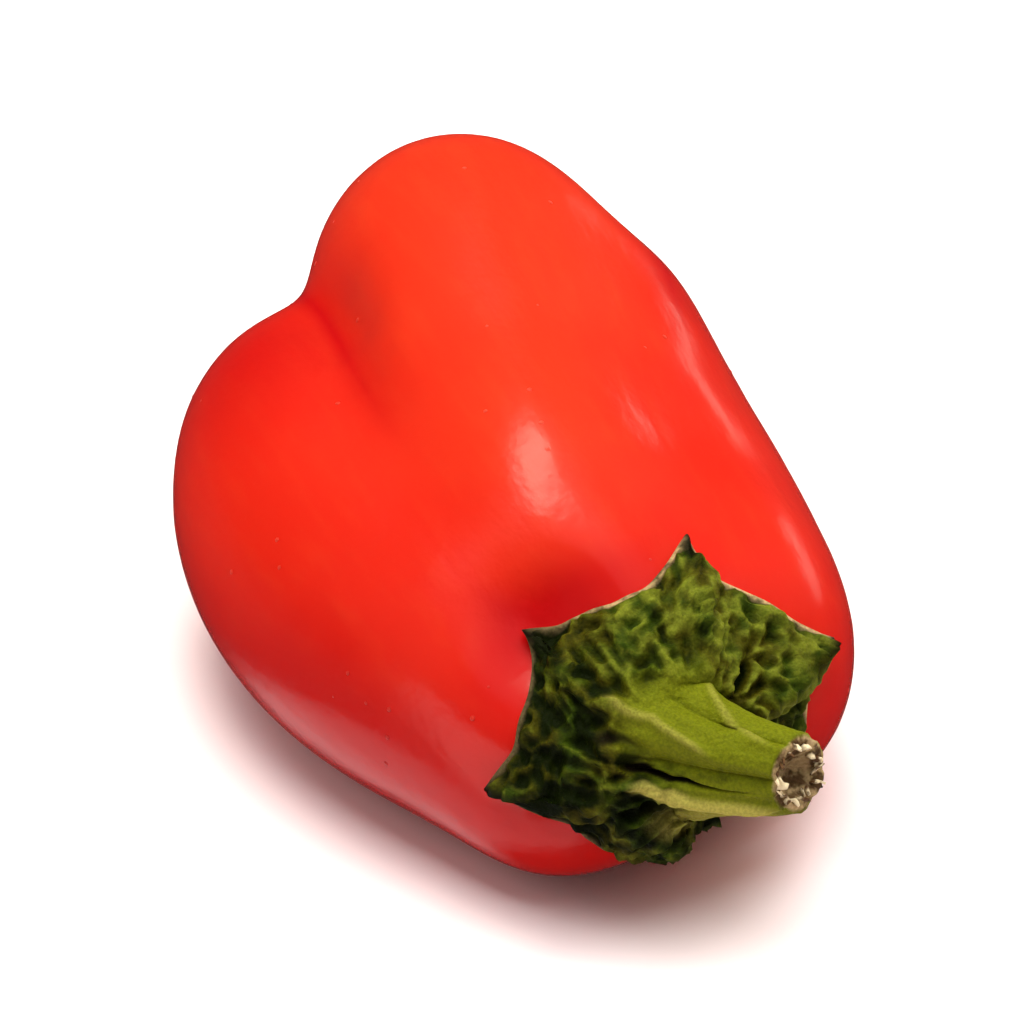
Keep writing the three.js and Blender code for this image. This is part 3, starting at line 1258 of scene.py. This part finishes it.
    def relief(self) -> GeometryRecipe:
        """Makes the recipe for the folds, crumples, ribs and lines.

        Returns:
            The recipe.
        """
        recipe = GeometryRecipe("cap_relief", {
            "Fold Height": 0.65,
            "Crumple Height": 0.75,
            "Grain Height": 0.14,
            "Rib Height": 0.16,
            "Seed": 7.0,
        })
        seed = recipe.given("Seed")
        around = recipe.mark(Mark.AROUND)
        climb = recipe.mark(Mark.CLIMB)
        stem = recipe.mark(Mark.STEM)
        web = recipe.mark(Mark.TOP) * (1 - stem)
        turn = {"X": recipe.math("COSINE", around), "Y": recipe.math("SINE", around)}
        wound = recipe.out("ShaderNodeCombineXYZ", None, turn | {"Z": climb * 0.28})
        folded = recipe.stirred(wound, scale=2.5, seed=seed, reach=0.14)
        folds = recipe.veins(folded, scale=4.2, seed=seed)
        crumpled = recipe.stirred(recipe.place(), scale=0.5, seed=seed, reach=0.7)
        crumples = recipe.veins(crumpled, scale=0.6, seed=seed + 1)
        grain = recipe.noise(recipe.place(), scale=1.7, seed=seed + 2, detail=1.0)
        drawn_out = recipe.out("ShaderNodeCombineXYZ", None, turn | {"Z": climb * 0.08})
        ribs = recipe.veins(drawn_out, scale=1.7, seed=seed + 3)
        height = recipe.given("Fold Height") * web * (folds - 0.5)
        height = height + recipe.given("Crumple Height") * web * (crumples - 0.5)
        height = height + recipe.given("Grain Height") * recipe.mark(Mark.TOP) * (grain - 0.5)
        height = height + recipe.given("Rib Height") * stem * (ribs - 0.5) + recipe.mark(Mark.LINE)
        surface = recipe.raised(recipe.given("Geometry"), height)
        # The relief is also kept as a mark, which the finish turns into painted shade and painted highlights.
        relief_shade_and_light = web * (0.5 * folds + 0.5 * crumples) + stem * (0.3 + 0.6 * ribs) + 0.5 * (grain - 0.5)
        recipe.end(recipe.marked(surface, Mark.RELIEF, relief_shade_and_light))
        return recipe

    def dress(self, body: bpy.types.Object) -> bpy.types.Object:
        """Raises the relief on the smooth body and gives it its finish.

        Args:
            body: The smooth body, which is used up.

        Returns:
            The finished piece.
        """
        piece = self.relief().grow(body, "green_cap_and_stem", CapFinish().material())
        drop(body)
        hand_over(piece, Slot.CAP, Node.CAP)
        return piece


@dataclass(frozen=True)
class Fruit:
    """The fruit.

    Attributes:
        form: Its form.
        cap: The cap on it.
        hollow: The hollow beside the cap, where the painted shade is deepest, in millimetres.
        shaded: The left lobe's tip, where shade is painted, in millimetres.
        shaded_depth: How strong the painted shade is there.
        deep_reach: How far these two go.
        furrow_shade_width: How wide the painted shade of a furrow is.
        columns: How many columns its skin has.
        rows: How many rows it has.
    """

    form: FruitForm
    cap: Cap
    hollow: Point = (17.4, -6.2, 18.0)
    shaded: Point = (-15.0, -12.0, 19.0)
    shaded_depth: float = 0.7
    deep_reach: float = 7.0
    furrow_shade_width: float = 1.2
    columns: int = 300
    rows: int = 220

    def build(self) -> bpy.types.Object:
        """Makes the smooth skin, flat underneath where it rests.

        Returns:
            The skin.
        """
        blossom, stem = (np.array(end) for end in self.form.heart)
        lean = np.pi * (1 - np.arange(self.rows + 1) / self.rows)
        turn = 2 * np.pi * np.arange(self.columns) / self.columns
        starts = blossom + (stem - blossom) * ((1 + np.cos(lean)) / 2)[:, None]
        rings = self.form.skin(starts[:, None], leaning(lean[:, None], turn[None]))
        rings[..., 2] = np.maximum(rings[..., 2], 0)
        lobes = np.sort(self.form.lobe_distances(rings), axis=-1)
        furrow = np.exp(-(lobes[..., 1] - lobes[..., 0]) / self.furrow_shade_width)
        covered = self.beyond_cap(rings)
        hollow = nearness_to(rings, self.hollow, self.deep_reach)
        shaded = self.shaded_depth * nearness_to(rings, self.shaded, self.deep_reach)
        skin = Skin(Mark.FURROW_SHADE, Mark.COLLAR_SHADE, Mark.BARE)
        last = len(rings) - 1
        for row, ring in enumerate(rings):
            marks = {
                # Painted shade in the furrows towards the blossom end, and on the left lobe's tip.
                Mark.FURROW_SHADE: np.maximum(furrow[row] * smooth_step(ring[:, 0], 6.0, -14.0), shaded[row]),
                # Painted shade round the cap, deepest in the hollow beside it.
                Mark.COLLAR_SHADE: smooth_step(covered[row], 30.0, 8.0) * (0.15 + 0.85 * hollow[row]),
                Mark.BARE: smooth_step(covered[row], 3.0, 6.0) * smooth_step(ring[:, 2], 3.0, 8.0),
            }
            if row in (0, last):
                skin.add(ring[0], {mark: values[0] for mark, values in marks.items()})
            else:
                skin.add(ring, marks)
        return skin.build("fruit_body")

    def beyond_cap(self, points: Points) -> Values:
        """How far points lie outside the cap's rim.

        Args:
            points: The points.

        Returns:
            Degrees of lean beyond the rim, below zero under the cap.
        """
        columns = self.cap.columns()
        ray = points - np.array(self.cap.eye)
        lean = np.arccos(ray[..., 0] / np.linalg.norm(ray, axis=-1))
        towards = np.arctan2(ray[..., 2], ray[..., 1])
        order = np.argsort(columns["towards"] % (2 * np.pi))
        turns = (columns["towards"] % (2 * np.pi))[order]
        rim = np.interp(towards % (2 * np.pi), turns, columns["rim"][order], period=2 * np.pi)
        return np.degrees(lean - rim)

    def relief(self) -> GeometryRecipe:
        """Makes the recipe for the soft unevenness of the skin.

        Returns:
            The recipe.
        """
        recipe = GeometryRecipe("skin_relief", {"Swell Height": 0.35, "Ripple Height": 0.05, "Seed": 3.0})
        seed = recipe.given("Seed")
        place = recipe.place()
        height = recipe.out("ShaderNodeSeparateXYZ", None, {0: place}, "Z")
        clear = recipe.rise(height, 0.3, 4.0)
        swell = recipe.given("Swell Height") * (recipe.noise(place, scale=0.08, seed=seed, detail=1.0) - 0.5)
        waves = recipe.noise(place, scale=0.35, seed=seed + 1, detail=1.0)
        ripple = recipe.given("Ripple Height") * (waves - 0.5)
        recipe.end(recipe.raised(recipe.given("Geometry"), clear * (swell + ripple)))
        return recipe

    def specks(self) -> GeometryRecipe:
        """Makes the recipe for the small raised specks on the skin.

        Returns:
            The recipe.
        """
        recipe = GeometryRecipe("skin_specks", {
            "Spacing": 1.8 * MM,
            "Smallest": 0.07 * MM,
            "Largest": 0.17 * MM,
            "Seed": 5,
        })
        seed = recipe.given("Seed")
        patches = recipe.rise(recipe.noise(recipe.place(), scale=0.13, seed=8.0, detail=1.0), 0.56, 0.66)
        scatter = {
            "Mesh": recipe.given("Geometry"),
            "Distance Min": recipe.given("Spacing"),
            "Density Max": 160000.0,
            "Density Factor": patches * recipe.mark(Mark.BARE),
            "Seed": seed,
        }
        spread = recipe.node("GeometryNodeDistributePointsOnFaces", {"distribute_method": "POISSON"}, scatter)
        dome = recipe.out("GeometryNodeMeshIcoSphere", None, {"Radius": 1.0, "Subdivisions": 2})
        flat = recipe.out("GeometryNodeTransform", None, {"Geometry": dome, "Scale": (1.0, 1.0, 0.25)})
        span = {"Min": recipe.given("Smallest"), "Max": recipe.given("Largest"), "Seed": seed}
        size = recipe.out("FunctionNodeRandomValue", {"data_type": "FLOAT"}, span)
        placed = {
            "Points": Value(recipe, spread.outputs["Points"]),
            "Instance": flat,
            "Rotation": Value(recipe, spread.outputs["Rotation"]),
            "Scale": size,
        }
        recipe.end(recipe.out("GeometryNodeInstanceOnPoints", None, placed))
        return recipe

    def dress(self, body: bpy.types.Object) -> bpy.types.Object:
        """Raises the relief on the smooth skin, scatters the specks and gives both their finish.

        Args:
            body: The smooth skin, which is used up.

        Returns:
            The finished skin.
        """
        ripe, warm = (0.52, 0.026, 0.012), (0.56, 0.040, 0.016)
        pale = SkinFinish(ripe=ripe, warm=warm, roughness=0.35, name="pale_skin")
        piece = self.relief().grow(body, "fruit_skin", SkinFinish().material())
        specks = self.specks().grow(piece, "skin_specks", pale.material())
        drop(body)
        hand_over(piece, Slot.SKIN, Node.FRUIT)
        hand_over(specks, Slot.SKIN)
        return piece


@dataclass(frozen=True)
class CutFibres:
    """The torn fibres that stand out of the stem's cut end.

    Attributes:
        cap: The cap whose stem was cut.
        count: How many fibres there are in a ring.
    """

    cap: Cap
    count: int = 26

    def build(self) -> bpy.types.Object:
        """Grows the ring of fibres on the cut end.

        Returns:
            The finished piece.
        """
        place, facing = self.cap.cut_plane()
        turned = Vector((0, 0, 1)).rotation_difference(Vector(facing)).to_euler()
        radius = self.cap.stem_rings[-1][1]
        recipe = GeometryRecipe("cut_fibres", {
            "Ring Radius": 0.8 * radius * MM,
            "Fibre Length": 0.8 * MM,
            "Fibre Width": 0.18 * MM,
            "Place": tuple((place - facing * 0.12 - MIDDLE) * MM),
            "Turn": tuple(turned),
            "Seed": 4,
        })
        start = add_object("fibre_start", bpy.data.meshes.new("fibre_start"))
        seed = recipe.given("Seed")
        ring = {"Vertices": self.count, "Radius": recipe.given("Ring Radius")}
        circle = recipe.out("GeometryNodeMeshCircle", None, ring)
        scattered = self.shifted(recipe, circle, 0.5)
        cone = {
            "Vertices": 6,
            "Side Segments": 4,
            "Radius Top": recipe.given("Fibre Width") * 0.5,
            "Radius Bottom": recipe.given("Fibre Width"),
            "Depth": recipe.given("Fibre Length"),
        }
        fibre = recipe.out("GeometryNodeMeshCone", None, cone)
        tilt = {"Min": (-0.6, -0.6, 0.0), "Max": (0.6, 0.6, 6.0), "Seed": seed}
        stretch = {"Min": (0.6, 0.4, 0.4), "Max": (2.4, 1.0, 1.3), "Seed": seed}
        placed = {
            "Points": scattered,
            "Instance": fibre,
            "Rotation": recipe.out("FunctionNodeRandomValue", {"data_type": "FLOAT_VECTOR"}, tilt),
            "Scale": recipe.out("FunctionNodeRandomValue", {"data_type": "FLOAT_VECTOR"}, stretch),
        }
        fibres = recipe.out("GeometryNodeInstanceOnPoints", None, placed)
        real = recipe.out("GeometryNodeRealizeInstances", None, {"Geometry": fibres})
        moved = {
            "Geometry": self.shifted(recipe, real, 0.3),
            "Translation": recipe.given("Place"),
            "Rotation": recipe.given("Turn"),
        }
        recipe.end(recipe.out("GeometryNodeTransform", None, moved))
        piece = recipe.grow(start, "cut_end_fibres", FibreFinish().material())
        drop(start)
        hand_over(piece, Slot.CAP)
        return piece

    @staticmethod
    def shifted(recipe: GeometryRecipe, geometry: Value, reach: float) -> Value:
        """Shifts points a little, each its own way.

        Args:
            recipe: The recipe that this is part of.
            geometry: The points.
            reach: How far they go, in millimetres.

        Returns:
            The shifted points.
        """
        place = recipe.stirred(recipe.place(), 0.9, 6.0, reach)
        inputs = {"Geometry": geometry, "Position": recipe.vector_math("MULTIPLY", place, (MM,) * 3)}
        return recipe.out("GeometryNodeSetPosition", None, inputs)


@dataclass(frozen=True)
class StyleRemnant:
    """The dry remnant of the flower, in the cleft between the three tips. All sizes are in millimetres.

    Attributes:
        form: The fruit that it stands on.
        outwards: Which way it points.
        profile: How far out its radius is given, and that radius.
        columns: How many columns its mesh has.
        rings: How many rings it has.
    """

    form: FruitForm
    outwards: Point = (-0.98, -0.15, -0.15)
    profile: tuple[tuple[float, float], ...] = (
        (-0.3, 0.62), (0.3, 0.6), (0.8, 0.62), (1.2, 0.5), (1.7, 0.46), (2.2, 0.36), (2.7, 0.38), (3.0, 0.3),
    )
    columns: int = 28
    rings: int = 40

    def build(self) -> bpy.types.Object:
        """Makes the wrinkled point and gives it its finish.

        Returns:
            The finished piece.
        """
        outwards = np.array(self.outwards) / np.linalg.norm(self.outwards)
        foot = self.form.skin(np.array(self.form.heart[0]), outwards)
        turned = np.array(Vector((1, 0, 0)).rotation_difference(Vector(outwards)).to_matrix())
        turn = 2 * np.pi * np.arange(self.columns) / self.columns
        spokes = leaning(np.pi / 2, turn) @ turned.T
        heights, radii = (np.array(values) for values in zip(*self.profile))
        skin = Skin()
        skin.add(foot + outwards * heights[0])
        for height in np.linspace(heights[0], heights[-1], self.rings):
            radius = np.interp(height, heights, radii)
            twist = turn + 0.5 * height
            wrinkled = radius * (1 + 0.16 * np.cos(5 * twist) + 0.07 * np.cos(9 * twist + 1.0))
            skin.add(foot + outwards * height + spokes * wrinkled[:, None])
        skin.add(foot + outwards * (heights[-1] - 0.1))
        piece = skin.build("dry_flower_remnant")
        piece.data.materials.append(RemnantFinish().material())
        hand_over(piece, Slot.REMNANT, Node.REMNANT)
        return piece


@dataclass(frozen=True)
class Panel:
    """A soft light panel.

    Attributes:
        name: Its name.
        direction: Where it stands, seen from the pepper.
        distance: How far away it is, in metres.
        size: Its width and height, in metres.
        radiance: How bright its face is.
        tint: Its colour.
        mirrored: Whether it shows in glossy surfaces.
    """

    name: str
    direction: Point
    distance: float
    size: tuple[float, float]
    radiance: float
    tint: Colour
    mirrored: bool


@dataclass(frozen=True)
class Studio:
    """The floor, the lights and the camera. All sizes are in metres.

    Attributes:
        aim: What the camera looks at.
        towards_camera: Where the camera stands, seen from there.
        distance: How far away it is.
        field: How much it shows at that distance.
        panels: The light panels.
        ambient: How bright the surroundings are everywhere.
        overhead: How much brighter they are overhead.
        glow: How much brighter the lit floor before the pepper is, which its low flank mirrors.
        floor_half: Half the floor's width.
    """

    aim: Point = (-0.0006, -0.0012, 0.0152)
    towards_camera: Point = (0.7818, -0.3286, 0.5299)
    distance: float = 0.95
    field: float = 0.0625
    panels: tuple[Panel, ...] = (
        Panel("key_panel", (-0.30, -0.07, 0.95), 0.9, (0.42, 0.22), 9.0, (1.0, 0.94, 0.76), True),
        Panel("low_panel", (-0.48, 0.86, 0.07), 1.2, (0.5, 0.12), 2.2, (1.0, 0.88, 0.72), True),
        Panel("left_panel", (0.25, -0.93, -0.08), 1.2, (0.72, 0.9), 1.9, (1.0, 0.86, 0.80), True),
        Panel("side_panel", (-0.20, 0.90, 0.45), 1.2, (1.0, 1.0), 3.0, (1.0, 0.82, 0.66), False),
        Panel("top_panel", (-0.03, 0.06, 1.0), 1.2, (1.4, 1.4), 5.6, WHITE, False),
        Panel("fill_panel", (-0.05, -0.80, 0.55), 1.2, (1.0, 1.0), 1.3, (1.0, 0.86, 0.84), False),
    )
    ambient: float = 0.04
    overhead: float = 0.10
    glow: float = 0.9
    floor_half: float = 1.5

    def build(self) -> None:
        """Makes everything."""
        self.add_camera()
        self.add_floor()
        for panel in self.panels:
            self.add_panel(panel)
        self.add_surroundings()

    def add_camera(self) -> None:
        """Makes the camera."""
        data = bpy.data.cameras.new("camera")
        data.lens = data.sensor_width * self.distance / self.field
        data.clip_start = 0.01
        camera = add_object("camera", data)
        back = Vector(self.towards_camera).normalized()
        camera.matrix_world = Matrix.LocRotScale(
            Vector(self.aim) + back * self.distance, (-back).to_track_quat("-Z", "Y"), None
        )
        bpy.context.scene.camera = camera

    def add_floor(self) -> None:
        """Makes the floor."""
        half = self.floor_half
        corners = [(-half, -half, 0.0), (half, -half, 0.0), (half, half, 0.0), (-half, half, 0.0)]
        mesh = bpy.data.meshes.new("floor")
        mesh.from_pydata(corners, [], [(0, 1, 2, 3)])
        mesh.materials.append(FloorFinish().material())
        floor = add_object("floor", mesh)
        floor.visible_glossy = False

    def add_panel(self, panel: Panel) -> None:
        """Makes a light panel.

        Args:
            panel: Its sizes.
        """
        data = bpy.data.lights.new(panel.name, "AREA")
        data.shape = "RECTANGLE"
        data.size, data.size_y = panel.size
        data.energy = panel.radiance * np.pi * data.size * data.size_y
        data.color = panel.tint
        light = add_object(panel.name, data)
        light.visible_glossy = panel.mirrored
        away = Vector(panel.direction).normalized()
        light.matrix_world = Matrix.LocRotScale(
            Vector(self.aim) + away * panel.distance, away.to_track_quat("Z", "Y"), None
        )

    def add_surroundings(self) -> None:
        """Makes the surroundings: dim all round, paler overhead, and bright in a patch of the floor."""
        world = bpy.data.worlds.new("surroundings")
        world.use_nodes = True
        bpy.context.scene.world = world
        graph = NodeGraph(world.node_tree)
        graph.tree.nodes.clear()
        direction = graph.out("ShaderNodeTexCoord", output="Generated")
        x, y, z = (graph.out("ShaderNodeSeparateXYZ", None, {0: direction}, axis) for axis in "XYZ")
        # The lit floor is seen steeply below on the side of -Y, but not straight down.
        below = graph.rise(z - 0.38 * x, -0.36, -0.46) * graph.rise(z, -0.42, -0.5)
        below = below * graph.rise(z, -0.93, -0.82) * graph.rise(y, 0.05, -0.25)
        light = self.ambient + self.overhead * graph.rise(z, 0.1, 0.9) + self.glow * below
        shader = graph.out("ShaderNodeBackground", None, {"Color": WHITE, "Strength": light})
        graph.node("ShaderNodeOutputWorld", None, {"Surface": shader})


def main() -> None:
    """Builds the pepper and the studio."""
    logging.basicConfig(level=logging.INFO, format="%(name)s: %(message)s")
    bpy.context.scene.view_settings.view_transform = "Standard"
    LOG.info("solids: %s", ", ".join(sorted(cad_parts)))
    Studio().build()
    form = FruitForm()
    cap = Cap(form)
    fruit = Fruit(form, cap)
    fruit.dress(fruit.build())
    cap.dress(cap.build())
    CutFibres(cap).build()
    StyleRemnant(form).build()


if __name__ == "__main__":
    main()
